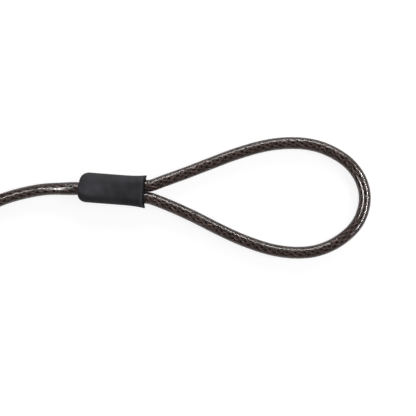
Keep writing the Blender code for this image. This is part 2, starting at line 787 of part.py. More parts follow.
def make_anchor(head):
    """The cable's bare end, crimped in a steel plug that a grub screw holds in the boss."""
    x1 = BOSS_REACH - CLEAR
    x0 = BOSS_REACH - CLEAR - ANCHOR_LEN + CLEAR
    screw_at = anchor_screw_y()
    half = GRUB_R + CLEAR
    inner = CORE_R + CLEAR
    waist = ANCHOR_R - ANCHOR_GROOVE
    anchor = turned(
        "cable_anchor",
        (
            (x0, inner),
            (x0, ANCHOR_R),
            (screw_at - half, ANCHOR_R),
            (screw_at - half, waist),
            (screw_at + half, waist),
            (screw_at + half, ANCHOR_R),
            (x1, ANCHOR_R),
            (x1, inner),
        ),
        20,
    )
    core = rod("anchored_core", x0, BOSS_REACH, CORE_R, 12, CLEAR)
    boss_face = BOSS_REACH + CLEAR
    boot = turned("strain_relief", boot_profile(boss_face), 24)
    at = (BOSS_X, 0, 0)
    place(head, finish(anchor, SATIN_STEEL, 0.35, 1.0), at=at, turn=ALONG_Y)
    place(head, finish(core, SATIN_STEEL, 0.4, 1.0), at=at, turn=ALONG_Y)
    place(head, finish(boot, BLACK_RUBBER, 0.6), at=at, turn=ALONG_Y)
    grub = rod("anchor_screw", waist + CLEAR, BOSS_R - CLEAR, GRUB_R, 12, CLEAR)
    socket = add_socket(grub, BOSS_R - CLEAR, GRUB_R * SOCKET_SHARE, GRUB_R * SOCKET_DEPTH_SHARE)
    finish(grub, SATIN_STEEL, 0.35, 1.0)
    place(head, grub, socket, at=(BOSS_X, screw_at, 0), turn=ALONG_MINUS_Z)


def boot_profile(x0):
    """A tapering rubber boot with a flange at the boss and grooves that let it flex."""
    inner = CABLE_R + CLEAR
    x1 = x0 + BOOT_LEN
    flange = BOOT_LEN / 8
    groove = 0.35 * (BOOT_TIP_R - CABLE_R)
    outer = [(x0, BOOT_BASE_R), (x0 + 0.8 * flange, BOOT_BASE_R)]
    run = (BOOT_LEN - flange) / (BOOT_RIBS + 0.5)
    body_r = BOOT_BASE_R - 2 * groove

    def taper(x):
        return body_r + (BOOT_TIP_R - body_r) * (x - x0 - flange) / (BOOT_LEN - flange)

    for k in range(BOOT_RIBS):
        a = x0 + flange + k * run
        for share, sink in ((0.0, 1), (0.3, 1), (0.42, 0), (0.88, 0)):
            x = a + share * run
            outer.append((x, taper(x) - sink * groove * 1.6))
    outer.append((x1 - groove, BOOT_TIP_R))
    outer.append((x1, BOOT_TIP_R - groove))
    return [(x0, inner), *outer, (x1, inner)]


def ring_plate(name, thickness, inner_r, gate, keyhole, count):
    """A flat disc in the YZ plane with a round or half-round hole and, if asked, a gate at the top."""
    half_gate = math.asin((GATE_W / 2 + CLEAR) / DISC_R)
    angles = [(2 * math.pi * k / count - math.pi / 2, False) for k in range(count)]
    if gate:
        angles = [(a, g) for a, g in angles if abs(a - math.pi / 2) > half_gate * 1.05]
        for side in (-1, 1):
            angles.append((math.pi / 2 + side * half_gate, False))
            angles.append((math.pi / 2 + side * half_gate * 0.999, True))
    angles.sort()

    def outer(deep):
        return DISC_R - GATE_DEPTH if deep else DISC_R

    def inner(a):
        if not keyhole or math.sin(a) * inner_r <= CLEAR:
            return inner_r
        return min(inner_r, CLEAR / math.sin(a))

    loops = []
    for x in (0, thickness):
        loops.append([Vector((x, outer(g) * math.cos(a), outer(g) * math.sin(a))) for a, g in angles])
    for x in (thickness, 0):
        loops.append([Vector((x, inner(a) * math.cos(a), inner(a) * math.sin(a))) for a, _ in angles])
    return lofted(name, loops, ring=True)


def make_plug(head):
    """Everything that turns with the key: drum, discs, side bar and the helical drive sleeve."""
    cavity_r = DRUM_R - DRUM_WALL
    cavity_x = DRUM_X0 + DRUM_CAVITY
    groove_r = DRUM_R - DETENT_GROOVE
    groove_half = BALL_R
    drum = turned(
        "drum",
        (
            (cavity_x, 0),
            (cavity_x, cavity_r),
            (DRUM_X0, cavity_r),
            (DRUM_X0, DRUM_R),
            (DETENT_X - groove_half, DRUM_R),
            (DETENT_X - groove_half / 2, groove_r),
            (DETENT_X + groove_half / 2, groove_r),
            (DETENT_X + groove_half, DRUM_R),
            (DRUM_X1, DRUM_R),
            (DRUM_X1, 0),
        ),
        36,
    )
    tang_reach = DRUM_R - DRUM_WALL
    tang = block(
        "tang_shape",
        (DRUM_X1 - CLEAR, -TANG_W / 2, -tang_reach),
        (DRUM_X1 + TANG_T, TANG_W / 2, tang_reach),
    )
    gate_half = GATE_W / 2 + CLEAR
    slot_foot = DISC_R - GATE_DEPTH
    slot = block("side_bar_slot", (PACK_X0, -gate_half, slot_foot), (PACK_X1, gate_half, 2 * DRUM_R))
    place(head, tang, slot)
    weld_on(drum, tang)
    cut(drum, slot)
    place(head, finish(drum, BRASS, 0.3, 1.0))

    keyhole_r = KEY_R + CLEAR
    guard = ring_plate("guard_disc", GUARD_T, keyhole_r, False, True, 24)
    place(head, finish(guard, SATIN_STEEL, 0.3, 1.0), at=(DRUM_X0, 0, 0))
    x = PACK_X0
    for k in range(DISC_COUNT):
        disc = ring_plate(f"disc_{k + 1}", DISC_T, keyhole_r, True, True, 24)
        place(head, finish(disc, BRASS, 0.35, 1.0), at=(x, 0, 0))
        x += DISC_T + CLEAR
        if k < DISC_COUNT - 1:
            spacer = ring_plate(f"spacer_{k + 1}", SPACER_T, keyhole_r + SPACER_T, True, False, 18)
            place(head, finish(spacer, SATIN_STEEL, 0.35, 1.0), at=(x, 0, 0))
            x += SPACER_T + CLEAR

    bar_low = DISC_R - GATE_DEPTH + CLEAR
    bar = block(
        "side_bar",
        (PACK_X0 + CLEAR, -GATE_W / 2, bar_low),
        (PACK_X1 - CLEAR, GATE_W / 2, DRUM_R - CLEAR),
    )
    place(head, finish(bar, SATIN_STEEL, 0.3, 1.0))

    cam = turned(
        "drive_sleeve",
        ((CAM_X0, CAM_BORE_R), (CAM_X0, DRUM_R), (CAM_X1, DRUM_R), (CAM_X1, CAM_BORE_R)),
        36,
    )
    tang_slot = block(
        "tang_slot",
        (CAM_X0 - TANG_T, -TANG_W / 2 - CLEAR, -2 * DRUM_R),
        (CAM_X0 + TANG_T, TANG_W / 2 + CLEAR, 2 * DRUM_R),
    )
    # A helix between two short flats, where the drive pin dwells at the ends of its travel
    steps = 20
    pin_angle = math.pi
    dwell = math.asin((DRIVE_PIN_R + CLEAR) / CAM_BORE_R)
    path = [(pin_angle + dwell, PIN_X)]
    for k in range(steps + 1):
        path.append((pin_angle - KEY_TURN * k / steps, PIN_X - BOLT_TRAVEL * k / steps))
    path.append((pin_angle - KEY_TURN - dwell, PIN_OPEN_X))
    low, high = CAM_BORE_R - CLEAR * 3, DRUM_R + CLEAR * 3
    sections = []
    for angle, x in path:
        out = Vector((0, math.cos(angle), math.sin(angle)))
        sections.append(
            [
                Vector((x - SLOT_HALF, 0, 0)) + out * low,
                Vector((x + SLOT_HALF, 0, 0)) + out * low,
                Vector((x + SLOT_HALF, 0, 0)) + out * high,
                Vector((x - SLOT_HALF, 0, 0)) + out * high,
            ]
        )
    helix = lofted("helix_slot", sections, smooth=False)
    place(head, tang_slot, helix)
    cut(cam, tang_slot, helix)
    place(head, finish(cam, SATIN_STEEL, 0.35, 1.0))


def make_bolt(head):
    tip = JAW_X1 + BOLT_BITE
    bolt = rod("bolt", PIN_X - BOLT_TAIL, tip, BOLT_R, 32, BOLT_CHAMFER)
    blind = BOLT_R / 3
    hole = rod("drive_pin_hole", blind, 2 * BOLT_R, DRIVE_PIN_R + CLEAR, 16)
    pin = rod("drive_pin", blind + CLEAR, PIN_GROOVE_R - CLEAR, DRIVE_PIN_R, 16, CLEAR)
    away = (0, 0, -math.pi / 2)
    place(head, hole, at=(PIN_X, 0, 0), turn=away)
    cut(bolt, hole)
    place(head, finish(bolt, SATIN_STEEL, 0.2, 1.0))
    place(head, finish(pin, SATIN_STEEL, 0.25, 1.0), at=(PIN_X, 0, 0), turn=away)
    bush = turned(
        "bolt_bush",
        ((BUSH_X0, CAM_BORE_R), (BUSH_X0, DRUM_R), (BUSH_X1, DRUM_R), (BUSH_X1, CAM_BORE_R)),
        32,
    )
    place(head, finish(bush, BRASS, 0.35, 1.0))


def make_detent(head):
    """A sprung ball in the casting runs in the drum's groove and steadies it."""
    ball_at, foot, top, plug_top = detent_stations()
    profile = [(-BALL_R, 0)]
    for k in range(1, 8):
        a = math.pi * k / 8
        profile.append((-BALL_R * math.cos(a), BALL_R * math.sin(a)))
    profile.append((BALL_R, 0))
    ball = turned("detent_ball", [(x + ball_at, r) for x, r in profile], 14)
    turns, per_turn = 3, 8
    wire = []
    coil_r = BALL_R - DETENT_WIRE_R - CLEAR / 3
    climb = DETENT_SPRING_LEN - 2 * DETENT_WIRE_R
    for k in range(turns * per_turn + 1):
        a = 2 * math.pi * k / per_turn
        x = foot + DETENT_WIRE_R + climb * k / (turns * per_turn)
        wire.append(Vector((x, coil_r * math.cos(a), coil_r * math.sin(a))))
    spring = tube("detent_spring", wire, DETENT_WIRE_R, 1)
    plug = rod("detent_screw", top + CLEAR, plug_top, GRUB_R, 14, CLEAR)
    socket = add_socket(plug, plug_top, GRUB_R * SOCKET_SHARE, GRUB_R * SOCKET_DEPTH_SHARE / 2)
    at = (DETENT_X, 0, 0)
    place(head, socket, at=at, turn=detent_turn())
    for body, colour in ((ball, SATIN_STEEL), (spring, SATIN_STEEL), (plug, SATIN_STEEL)):
        place(head, finish(body, colour, 0.3, 1.0), at=at, turn=detent_turn())


def blade_section(x, cut_deg):
    """The lower half disc of the blade, with its first corner cut away by an angle."""
    points = [Vector((x, 0, 0))]
    for k in range(7):
        a = math.pi + math.radians(cut_deg) + (math.pi - math.radians(cut_deg)) * k / 6
        points.append(Vector((x, KEY_R * math.cos(a), KEY_R * math.sin(a))))
    return points


def make_key(head):
    collar_face = BARREL_X0 - CLEAR - COLLAR_FLANGE_T
    collar = turned(
        "key_collar",
        (
            (collar_face, KEY_R + 2 * CLEAR),
            (collar_face, COLLAR_R - COLLAR_FLANGE_T / 2),
            (collar_face + COLLAR_FLANGE_T / 2, COLLAR_R),
            (BARREL_X0 - CLEAR, COLLAR_R),
            (BARREL_X0 - CLEAR, DRUM_R),
            (DRUM_X0 - CLEAR, DRUM_R),
            (DRUM_X0 - CLEAR, KEY_R + 2 * CLEAR),
        ),
        36,
    )
    place(head, finish(collar, NICKEL, 0.2, 1.0))

    bow_x1 = collar_face - 2 * CLEAR
    tip = PACK_X1 - CLEAR
    sections = []
    pitch = DISC_T + SPACER_T + 2 * CLEAR
    x = tip
    for degrees in KEY_CUTS_DEG[:DISC_COUNT]:
        sections += [blade_section(x, degrees), blade_section(x - DISC_T, degrees)]
        x -= pitch
    sections += [blade_section(x, 0), blade_section(bow_x1 + 2 * CLEAR, 0)]
    w, t = KEY_TANG_W / 2, KEY_TANG_T
    flat = ((0, 0), (-w, 0), (-w, -t / 2), (-w, -t), (0, -t), (w, -t), (w, -t / 2), (w, 0))
    for x in (bow_x1 + CLEAR, bow_x1 - KEY_TANG_LEN):
        sections.append([Vector((x, y, z)) for y, z in flat])
    place(head, finish(lofted("key_blade", sections, smooth=False), NICKEL, 0.25, 1.0))

    bow_x0 = bow_x1 - KEY_BOW_LEN
    half = KEY_BOW_W / 2
    r = 0.75 * half
    neck = 0.6 * half
    neck_r = half - neck
    outline = arc(bow_x0 + r, half - r, r, 90, 180, 6)
    outline += arc(bow_x0 + r, -half + r, r, 180, 270, 6)
    outline += arc(bow_x1 - neck_r, -half + neck_r, neck_r, 270, 360, 4)
    outline += arc(bow_x1 - neck_r, half - neck_r, neck_r, 0, 90, 4)
    low = -(t + KEY_BOW_T) / 2
    bow = plate("key_bow", outline, low, low + KEY_BOW_T, KEY_BOW_T / 5)
    ring_hole = rod("key_ring_hole", -KEY_BOW_T, KEY_BOW_T, KEY_RING_HOLE_R, 16)
    tang_hole = block(
        "key_tang_hole",
        (bow_x1 - KEY_TANG_LEN - CLEAR, -w - CLEAR, -t - CLEAR),
        (bow_x1 + CLEAR, w + CLEAR, CLEAR),
    )
    place(head, ring_hole, at=(bow_x0 + 2 * KEY_RING_HOLE_R, 0, 0), turn=ALONG_Z)
    place(head, tang_hole)
    cut(bow, ring_hole, tang_hole)
    place(head, finish(bow, BLACK_PLASTIC, 0.4))


def main():
    for old in list(bpy.data.objects):
        bpy.data.objects.remove(old)
    to_world, leg_face, tail_face = make_eye()
    make_cables(to_world, leg_face, tail_face)
    head = frame_at("head_frame", (0, 0, AXIS_Z), (0, 0, -math.pi / 2))
    make_body(head)
    make_covers(head)
    make_anchor(head)
    make_plug(head)
    make_bolt(head)
    make_detent(head)
    make_key(head)


main()
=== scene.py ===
"""Looks of the cable lock: a braided steel cable in a smoke-tinted jacket, with a sleeved eye at one
end and a keyed lock head at the other. Metres, +Z up, the lock lying on the floor at z = 0.
"""

import math

import bmesh
import bpy
from mathutils import Matrix, Vector


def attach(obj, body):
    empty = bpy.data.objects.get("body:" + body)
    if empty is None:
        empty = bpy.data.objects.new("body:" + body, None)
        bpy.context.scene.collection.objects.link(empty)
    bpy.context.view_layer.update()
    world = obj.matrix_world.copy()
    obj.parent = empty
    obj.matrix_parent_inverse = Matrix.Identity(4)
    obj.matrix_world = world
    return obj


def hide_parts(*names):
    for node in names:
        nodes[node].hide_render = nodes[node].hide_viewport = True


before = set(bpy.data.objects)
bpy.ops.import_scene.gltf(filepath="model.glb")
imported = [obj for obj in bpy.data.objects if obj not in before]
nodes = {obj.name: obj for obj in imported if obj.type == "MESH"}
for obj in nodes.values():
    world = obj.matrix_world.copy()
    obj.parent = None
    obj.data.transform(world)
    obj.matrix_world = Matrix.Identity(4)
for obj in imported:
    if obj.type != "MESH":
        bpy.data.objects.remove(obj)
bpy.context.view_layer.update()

# ---------------------------------------------------------------------------------------------------
# Camera. It looks straight down on the eye, as in a catalogue picture: the tail runs out of the
# picture at the left, and the coil and the lock head lie beyond its edge.
# ---------------------------------------------------------------------------------------------------

VIEW_CENTRE = (0.3430, -0.0070)
VIEW_WIDTH = 0.3453
CABLE_D = 0.0100
CABLE_R = CABLE_D / 2

camera_data = bpy.data.cameras.new("catalogue_camera")
camera_data.lens = 85
camera_data.sensor_width = 36
camera_data.clip_start = 0.05
camera_data.clip_end = 60
camera = bpy.data.objects.new("catalogue_camera", camera_data)
view_distance = VIEW_WIDTH * camera_data.lens / camera_data.sensor_width
camera.location = (*VIEW_CENTRE, CABLE_R + view_distance)
bpy.context.scene.collection.objects.link(camera)
bpy.context.scene.camera = camera
bpy.context.scene.view_settings.view_transform = "Standard"

# ---------------------------------------------------------------------------------------------------
# Floor and lamps. A white table in a pale room, with one wide soft lamp behind the eye and one at its
# right. Four narrow lamps shine on the cable's jacket alone and draw the thin bright lines on it.
# ---------------------------------------------------------------------------------------------------


def new_finish(name, colour=None, roughness=None, metallic=0.0):
    """A material and its node tree, with the shader's plain values set."""
    finish = bpy.data.materials.new(name)
    finish.use_nodes = True
    tree = finish.node_tree
    shader = tree.nodes["Principled BSDF"]
    shader.inputs["Metallic"].default_value = metallic
    if colour is not None:
        shader.inputs["Base Color"].default_value = (*colour, 1.0)
    if roughness is not None:
        shader.inputs["Roughness"].default_value = roughness
    return finish, tree, shader


def put(tree, kind, inputs=(), **settings):
    """Adds a shader node; an input is given a value or another node's output."""
    made = tree.nodes.new("ShaderNode" + kind)
    for name, value in settings.items():
        setattr(made, name, value)
    for socket, value in dict(inputs).items():
        if isinstance(value, bpy.types.NodeSocket):
            tree.links.new(value, made.inputs[socket])
        else:
            made.inputs[socket].default_value = value
    return made


def seen_or_mirrored(tree):
    """1 where the camera sees the surface, straight or in a shiny or clear piece; 0 for its light."""
    light_path = put(tree, "LightPath").outputs
    seen = light_path["Is Camera Ray"]
    for mirrored in ("Is Glossy Ray", "Is Transmission Ray"):
        seen = put(tree, "Math", {0: seen, 1: light_path[mirrored]}, operation="MAXIMUM").outputs[0]
    return seen


TABLE_REACH = 20.0
TABLE_DROP = 0.0001
TABLE_LIFT = 0.86

table_mesh = bpy.data.meshes.new("white_table")
table_corners = [(TABLE_REACH * x, TABLE_REACH * y, 0) for x, y in ((-1, -1), (1, -1), (1, 1), (-1, 1))]
table_mesh.from_pydata(table_corners, [], [(0, 1, 2, 3)])
table = bpy.data.objects.new("white_table", table_mesh)
bpy.context.scene.collection.objects.link(table)
table.location.z = -TABLE_DROP
table_white, tree, shader = new_finish("table_white", (0.29, 0.29, 0.29), 0.9)
shader.inputs["Emission Color"].default_value = (1, 1, 1, 1)
lift = put(tree, "Math", {0: seen_or_mirrored(tree), 1: TABLE_LIFT}, operation="MULTIPLY").outputs[0]
tree.links.new(lift, shader.inputs["Emission Strength"])
table_mesh.materials.append(table_white)

# The room: a weak even light, and a white sweep just above the horizon for the camera
ROOM_LIGHT = 0.22
SWEEP_TOP = 0.20

world = bpy.data.worlds.new("studio")
bpy.context.scene.world = world
world.use_nodes = True
tree = world.node_tree
heading = put(tree, "SeparateXYZ", {0: put(tree, "TexCoord").outputs["Generated"]}).outputs["Z"]
sweep = put(tree, "MapRange", {"Value": heading, "From Max": SWEEP_TOP, "To Min": 1.0, "To Max": ROOM_LIGHT})
sweep.interpolation_type = "SMOOTHSTEP"
room = put(
    tree, "MapRange", {"Value": seen_or_mirrored(tree), "To Min": ROOM_LIGHT, "To Max": sweep.outputs[0]}
)
tree.nodes["Background"].inputs["Color"].default_value = (1, 1, 1, 1)
tree.links.new(room.outputs[0], tree.nodes["Background"].inputs["Strength"])

jacket_lamps_light = bpy.data.collections.new("jacket_lamps_light")


def soft_lamp(name, place, aim, width, length, brightness, jacket_only=False, into_braid=True):
    """An area lamp whose brightness is that of its face. A jacket_only lamp lights nothing else."""
    lamp = bpy.data.lights.new(name, "AREA")
    lamp.shape = "RECTANGLE"
    lamp.size = width
    lamp.size_y = length
    lamp.energy = brightness * math.pi * width * length
    lamp_object = bpy.data.objects.new(name, lamp)
    # The lamp's own Y follows the world's, or the world's Z where the lamp looks along Y
    forward = (Vector(aim) - Vector(place)).normalized()
    guide = Vector((0, 0, 1)) if abs(forward.y) > 0.5 else Vector((0, 1, 0))
    side = guide.cross(-forward).normalized()
    up = (-forward).cross(side)
    lamp_object.matrix_world = Matrix.Translation(place) @ Matrix((side, up, -forward)).transposed().to_4x4()
    if jacket_only:
        lamp_object.light_linking.receiver_collection = jacket_lamps_light
    lamp_object.visible_transmission = into_braid and not jacket_only
    bpy.context.scene.collection.objects.link(lamp_object)


EYE_MIDDLE = (0.38, 0.0, 0.0)
PAST_EYE = (0.55, 0.0, 0.0)
TAIL_MIDDLE = (0.22, 0.01, 0.0)
soft_lamp("back_softbox", (0.62, 1.30, 0.62), PAST_EYE, 1.75, 0.50, 5.5)
soft_lamp("right_softbox", (1.30, 0.0, 0.80), EYE_MIDDLE, 0.40, 0.90, 4.0, into_braid=False)
soft_lamp("right_line", (1.30, 0.0, 0.76), EYE_MIDDLE, 0.22, 1.20, 30.0, jacket_only=True)
soft_lamp("left_line", (-1.00, -0.17, 2.1), EYE_MIDDLE, 0.32, 1.30, 58.0, jacket_only=True)
soft_lamp("back_line", (0.62, 1.30, 1.00), PAST_EYE, 1.6, 0.30, 9.5, jacket_only=True)
soft_lamp("small_top_lamp", (-0.005, 0.21, 0.60), TAIL_MIDDLE, 0.07, 0.06, 60.0, jacket_only=True)

# ---------------------------------------------------------------------------------------------------
# Cable routes. One cable runs from the sleeve's neck through the coil to the lock head; the eye is
# its looped end. The points are those of the part's source, but for the five next to the sleeve's
# mouth, where the two legs lie side by side a little longer.
# ---------------------------------------------------------------------------------------------------

SLEEVE_CENTRE = Vector((0.2635, 0.0085, 0.00795))
SLEEVE_TILT = math.radians(-3.5)
SLEEVE_LEN = 0.0544
LEG_OFFSET = 0.00515
LEG_FACE = 0.0123
TAIL_FACE = -0.0227
NECK_SHIFT = -0.0011
LEG_DROP_X = 0.3300
TAIL_DROP_X = 0.2000
TAIL_POINTS = (
    (0.2252, 0.0090),
    (0.2152, 0.0089),
    (0.2052, 0.0082),
    (0.1952, 0.0065),
    (0.1853, 0.0042),
    (0.1753, 0.0012),
    (0.1653, -0.0027),
    (0.1555, -0.0070),
    (0.1455, -0.0116),
)
EYE_POINTS = (
    (0.2949, 0.0114),
    (0.2990, 0.0126),
    (0.3050, 0.0149),
    (0.3247, 0.0221),
    (0.3447, 0.0298),
    (0.3646, 0.0373),
    (0.3845, 0.0433),
    (0.3978, 0.0459),
    (0.4111, 0.0469),
    (0.4243, 0.0462),
    (0.4376, 0.0431),
    (0.4508, 0.0368),
    (0.4607, 0.0293),
    (0.4685, 0.0190),
    (0.4721, 0.0096),
    (0.4731, 0.0030),
    (0.4728, -0.0038),
    (0.4712, -0.0105),
    (0.4685, -0.0170),
    (0.4640, -0.0236),
    (0.4562, -0.0310),
    (0.4443, -0.0384),
    (0.4310, -0.0429),
    (0.4177, -0.0441),
    (0.4044, -0.0431),
    (0.3911, -0.0403),
    (0.3712, -0.0334),
    (0.3513, -0.0243),
    (0.3314, -0.0142),
    (0.3115, -0.0052),
    (0.2990, -0.0003),
    (0.2950, 0.0010),
)
COIL_CENTRE = (0.0990, 0.0317)
COIL_OUTER_R = 0.0590
COIL_PITCH = 0.0106
COIL_START_ANGLE = math.radians(297.0)
COIL_TURN = math.radians(1125.0)
COIL_ROUNDING = 0.35
COIL_STEPS = 90
SPLINE_CUTS = 16
BOSS_FACE = 0.0243
BOSS_Y = -0.0200
BOOT_LEN = 0.0260
HEAD_AXIS_Z = 0.0150

sleeve_frame = Matrix.Translation(SLEEVE_CENTRE) @ Matrix.Rotation(SLEEVE_TILT, 4, "Z")


def eased(share):
    """A soft start and a soft end between 0 and 1."""
    share = min(max(share, 0.0), 1.0)
    return share * share * (3 - 2 * share)


def lowered(x, drop_x, from_x):
    """Height of the cable's middle on its way down from the sleeve to the table."""
    share = eased((x - from_x) / (drop_x - from_x))
    return SLEEVE_CENTRE.z + (CABLE_R - SLEEVE_CENTRE.z) * share


def evenly(points, step):
    """A smooth line through the points, the first and last stretch straight, cut in even steps."""
    ends = [points[0] * 2 - points[1], *points, points[-1] * 2 - points[-2]]
    fine = []
    for p0, p1, p2, p3 in zip(ends, ends[1:], ends[2:], ends[3:]):
        t1 = (p1 - p0).length ** 0.5
        t2 = t1 + (p2 - p1).length ** 0.5
        t3 = t2 + (p3 - p2).length ** 0.5
        for k in range(SPLINE_CUTS):
            t = t1 + (t2 - t1) * k / SPLINE_CUTS
            a1 = p0.lerp(p1, t / t1)
            a2 = p1.lerp(p2, (t - t1) / (t2 - t1))
            a3 = p2.lerp(p3, (t - t2) / (t3 - t2))
            b1 = a1.lerp(a2, t / t2)
            b2 = a2.lerp(a3, (t - t1) / (t3 - t1))
            fine.append(b1.lerp(b2, (t - t1) / (t2 - t1)))
    fine.append(points[-1])
    reached = [0.0]
    for a, b in zip(fine, fine[1:]):
        reached.append(reached[-1] + (b - a).length)
    count = round(reached[-1] / step)
    line, i = [], 0
    for k in range(count + 1):
        want = reached[-1] * k / count
        while i < len(reached) - 2 and reached[i + 1] < want:
            i += 1
        line.append(fine[i].lerp(fine[i + 1], (want - reached[i]) / (reached[i + 1] - reached[i])))
    return line, reached[-1]


def coil_point(turn):
    """The coil's line: in along the table, up a layer in half a turn, and out again on top."""
    middle = COIL_TURN / 2
    inward = math.hypot(middle, COIL_ROUNDING) - math.hypot(turn - middle, COIL_ROUNDING)
    radius = COIL_OUTER_R - COIL_PITCH * inward / (2 * math.pi)
    angle = COIL_START_ANGLE - turn
    x = COIL_CENTRE[0] + radius * math.cos(angle)
    y = COIL_CENTRE[1] + radius * math.sin(angle)
    return Vector((x, y, CABLE_R + COIL_PITCH * eased((turn - middle) / math.pi + 0.5)))


leg_bend = SLEEVE_LEN / 2 - CABLE_R
legs = [[sleeve_frame @ Vector((x, side * LEG_OFFSET, 0)) for x in (LEG_FACE, leg_bend)] for side in (1, -1)]
eye_route = legs[0] + [Vector((x, y, lowered(x, LEG_DROP_X, legs[0][1].x))) for x, y in EYE_POINTS]
eye_route += reversed(legs[1])

neck = [sleeve_frame @ Vector((TAIL_FACE - k * CABLE_R, NECK_SHIFT, 0)) for k in range(2)]
run_route = neck + [Vector((x, y, lowered(x, TAIL_DROP_X, neck[1].x))) for x, y in TAIL_POINTS]
coil_line = [coil_point(COIL_TURN * k / COIL_STEPS) for k in range(COIL_STEPS + 1)]
run_route.append(coil_line[0] + (coil_line[0] - coil_line[1]).normalized() * CABLE_D)
run_route += coil_line
run_route.append(coil_line[-1] + (coil_line[-1] - coil_line[-2]).normalized() * CABLE_D)
run_route += [Vector((BOSS_FACE + reach, BOSS_Y, HEAD_AXIS_Z)) for reach in (BOOT_LEN, 0.0)]

# ---------------------------------------------------------------------------------------------------
# Cable. Twelve flat bundles of steel wire, six each way, are plaited over a wire core whose colour is
# painted dark as shade in the gaps between the bundles. A smoke-tinted clear jacket is extruded round
# them, so the plait stands out a little in its surface too.
# ---------------------------------------------------------------------------------------------------

BUNDLES = 6
LAY = 0.0430
BUNDLE_W = 0.00165
BUNDLE_T = 0.0009
BRAID_R = 0.0028
PLAIT_LIFT = 0.00035
WIRE_CORE_R = 0.0023
WIRE_CORE_SIDES = 12
WIRES_ACROSS = 4
# How much lighter one hand of bundles is painted than the other: painted light
HAND_PAINTED_LIGHT = 0.32
BUNDLE_TONE = 0.18
BUNDLE_PHASE = 2.4
JACKET_STEP = 0.0010
JACKET_SIDES = 32
JACKET_RELIEF = 0.000003
SWELL_PEAK = 0.0075
SWELL_LEN = 0.0200


def cross_axes(line):
    """The tangent and two cross directions at each point of a line that never stands upright."""
    axes = []
    for i in range(len(line)):
        tangent = (line[min(i + 1, len(line) - 1)] - line[max(i - 1, 0)]).normalized()
        side = Vector((0, 0, 1)).cross(tangent).normalized()
        axes.append((side, tangent.cross(side)))
    return axes


def add_tube(points, faces, rings):
    """Joins rings of equally many points into one closed tube."""
    n = len(rings[0])
    base = len(points)
    for ring in rings:
        points.extend(ring)
    for i in range(len(rings) - 1):
        for j in range(n):
            k = (j + 1) % n
            a = base + i * n
            faces.append((a + j, a + k, a + n + k, a + n + j))
    faces.append(tuple(reversed(range(base, base + n))))
    last = base + (len(rings) - 1) * n
    faces.append(tuple(range(last, last + n)))


def solid_from(name, points, faces):
    """A new smooth-shaded object of these points and faces."""
    mesh = bpy.data.meshes.new(name)
    mesh.from_pydata(points, [], faces)
    mesh.shade_smooth()
    made = bpy.data.objects.new(name, mesh)
    bpy.context.scene.collection.objects.link(made)
    return made


def braid(name, route, step, corners):
    """The wire core and the plaited bundles, with where across a bundle each point is and its tone: one
    hand's bundles painted lighter and the other's darker as painted light, and each bundle's own tone.
    """
    line, length = evenly(route, step)
    axes = cross_axes(line)
    turn = [2 * math.pi * length * i / (len(line) - 1) / LAY for i in range(len(line))]
    points, faces, across, painted_light_and_tone = [], [], [], []
    core = []
    for at, (side, up) in zip(line, axes):
        angles = [2 * math.pi * j / WIRE_CORE_SIDES for j in range(WIRE_CORE_SIDES)]
        core.append([at + (side * math.cos(a) + up * math.sin(a)) * WIRE_CORE_R for a in angles])
    add_tube(points, faces, core)
    across += [0.5] * len(points)
    painted_light_and_tone += [0.5] * len(points)
    core_faces = len(faces)
    for hand in (1, -1):
        for bundle in range(BUNDLES):
            rings = []
            # Painted light: one hand of bundles lighter, the other darker; the sine gives each bundle its own
            # tone
            lift = 0.5 + HAND_PAINTED_LIGHT * hand + BUNDLE_TONE * math.sin(BUNDLE_PHASE * bundle + hand)
            for at, (side, up), wound in zip(line, axes, turn):
                a = 2 * math.pi * bundle / BUNDLES + hand * wound
                radial = side * math.cos(a) + up * math.sin(a)
                level = up * math.cos(a) - side * math.sin(a)
                middle = at + radial * (BRAID_R + hand * PLAIT_LIFT * math.cos(BUNDLES * wound))
                ring = []
                for j in range(corners):
                    b = 2 * math.pi * j / corners
                    wide = level * (BUNDLE_W / 2 * math.cos(b))
                    thick = radial * (BUNDLE_T / 2 * math.sin(b))
                    ring.append(middle + wide + thick)
                    across.append(0.5 + 0.5 * math.cos(b))
                    painted_light_and_tone.append(lift)
                rings.append(ring)
            add_tube(points, faces, rings)
    made = solid_from(name, points, faces)
    made.data.attributes.new("across", "FLOAT", "POINT").data.foreach_set("value", across)
    made.data.attributes.new("painted_light_and_tone", "FLOAT", "POINT").data.foreach_set("value", painted_light_and_tone)
    for face in made.data.polygons[core_faces:]:
        face.material_index = 1
    return made


def jacket(name, route, step, corners, swelling=0.0):
    """The jacket's skin, faintly raised over the bundles, and swollen near the route's start."""
    line, length = evenly(route, step)
    axes = cross_axes(line)
    rings = []
    for i, (at, (side, up)) in enumerate(zip(line, axes)):
        along = length * i / (len(line) - 1)
        wound = 2 * math.pi * along / LAY
        swollen = swelling * eased(along / SWELL_PEAK) * (1 - eased((along - SWELL_PEAK) / SWELL_LEN))
        over = (1 + math.cos(BUNDLES * wound)) / 2
        ring = []
        for j in range(corners):
            a = 2 * math.pi * j / corners
            raised = over * math.cos(BUNDLES * (a - wound)) + (1 - over) * math.cos(BUNDLES * (a + wound))
            radius = CABLE_R + swollen + JACKET_RELIEF * raised
            ring.append(at + (side * math.cos(a) + up * math.sin(a)) * radius)
        rings.append(ring)
    points, faces = [], []
    add_tube(points, faces, rings)
    made = solid_from(name, points, faces)
    return made, line, length


def new_group(name, sockets_in, sockets_out):
    """An empty shader group with float inputs and outputs."""
    group = bpy.data.node_groups.new(name, "ShaderNodeTree")
    for label, value in sockets_in.items():
        socket = group.interface.new_socket(label, in_out="INPUT", socket_type="NodeSocketFloat")
        socket.default_value = value
    for label in sockets_out:
        group.interface.new_socket(label, in_out="OUTPUT", socket_type="NodeSocketFloat")
    return group, group.nodes.new("NodeGroupInput").outputs, group.nodes.new("NodeGroupOutput")


def place_group(tree, group, **values):
    """Places a shader group in a material, with its own sizes, and returns its outputs."""
    made = tree.nodes.new("ShaderNodeGroup")
    made.node_tree = group
    for label, value in values.items():
        made.inputs[label.replace("_", " ").capitalize()].default_value = value
    return made.outputs


